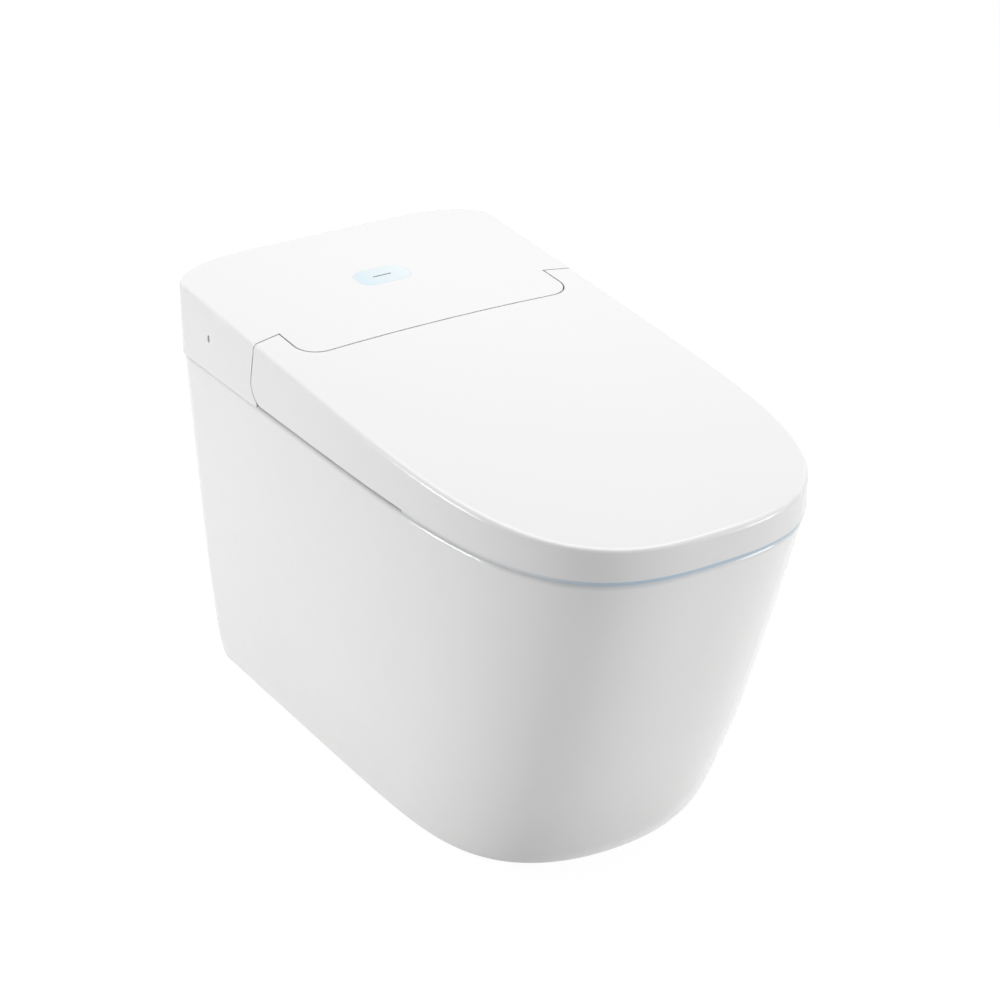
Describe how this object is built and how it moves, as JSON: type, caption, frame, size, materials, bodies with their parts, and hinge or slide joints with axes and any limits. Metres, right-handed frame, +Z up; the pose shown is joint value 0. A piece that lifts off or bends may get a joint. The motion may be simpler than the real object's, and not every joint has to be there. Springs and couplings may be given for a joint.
{
  "type": "smart toilet with heated seat",
  "caption": "Floor-standing one-piece toilet with a soft-close lid, a heated seat, washing wands and a warm-air dryer under one rear cover.",
  "frame": {"origin": "on the floor, in the middle of the object's length and width", "axes": "+Z up, -Y towards the nose of the bowl, +Y towards the wall behind, +X to the right when facing the nose"},
  "size_m": [0.383, 0.73, 0.4643],
  "materials": {
    "china": "gloss glaze",
    "shell_white": "gloss",
    "seat_white": "satin",
    "liner_white": "satin",
    "display_tint": "gloss translucent",
    "sensor_dark": "gloss",
    "glow_guide": "translucent",
    "wand_white": "gloss",
    "frame_grey": "moulded",
    "drive_black": "moulded",
    "steel": "turned",
    "buffer_rubber": "matt",
    "seal_rubber": "matt",
    "mat_foil": "foil",
    "board_green": "solder mask",
    "brass": "machined"
  },
  "bodies": {
    "base": {"ceramic_pan": "china", "outlet_seal": "seal_rubber", "floor_brackets": "steel", "rear_cover": "shell_white", "display_window": "display_tint", "sensor_window": "sensor_dark", "display_board": "board_green", "cover_screws": "steel", "chassis": "frame_grey", "hinge_shafts": "steel", "seat_damper": "drive_black", "lid_damper": "drive_black", "wand_housing": "frame_grey", "wand_motors": "drive_black", "dryer_housing": "frame_grey", "dryer_motor": "steel", "flap_pin": "steel", "flush_pump": "drive_black", "flush_pipe": "frame_grey", "water_heater": "frame_grey", "air_pump": "drive_black", "power_supply": "drive_black", "control_board": "board_green", "inlet_valve": "frame_grey", "inlet_connector": "brass", "power_gland": "drive_black"},
    "seat": {"seat_top": "seat_white", "seat_base": "seat_white", "seat_heater": "mat_foil", "seat_buffers": "buffer_rubber", "night_light": "glow_guide"},
    "lid": {"lid_shell": "shell_white", "lid_liner": "liner_white", "lid_buffers": "buffer_rubber"},
    "rear_wand": {"rear_wash_wand": "wand_white"},
    "front_wand": {"front_wash_wand": "wand_white"},
    "fan": {"dryer_fan": "drive_black"},
    "flap": {"dryer_flap": "shell_white"}
  },
  "joints": [
    {"name": "seat_hinge", "type": "hinge", "parent": "base", "child": "seat", "pos_m": [0, 0.142, 0.4385], "axis": [-1, 0, 0], "range_deg": [0, 98]},
    {"name": "lid_hinge", "type": "hinge", "parent": "seat", "child": "lid", "pos_m": [0, 0.142, 0.4385], "axis": [1, 0, 0], "range_deg": [-103, 0]},
    {"name": "rear_wand_slide", "type": "slide", "parent": "base", "child": "rear_wand", "axis": [0, -0.9063, -0.4226], "range_m": [0, 0.1]},
    {"name": "front_wand_slide", "type": "slide", "parent": "base", "child": "front_wand", "axis": [0, -0.9063, -0.4226], "range_m": [0, 0.12]},
    {"name": "fan_spin", "type": "hinge", "parent": "base", "child": "fan", "pos_m": [0, 0.24151, 0.40342], "axis": [1, 0, 0], "continuous": true},
    {"name": "flap_hinge", "type": "hinge", "parent": "base", "child": "flap", "pos_m": [0, 0.0551, 0.3565], "axis": [-1, 0, 0], "range_deg": [0, 65]}
  ]
}
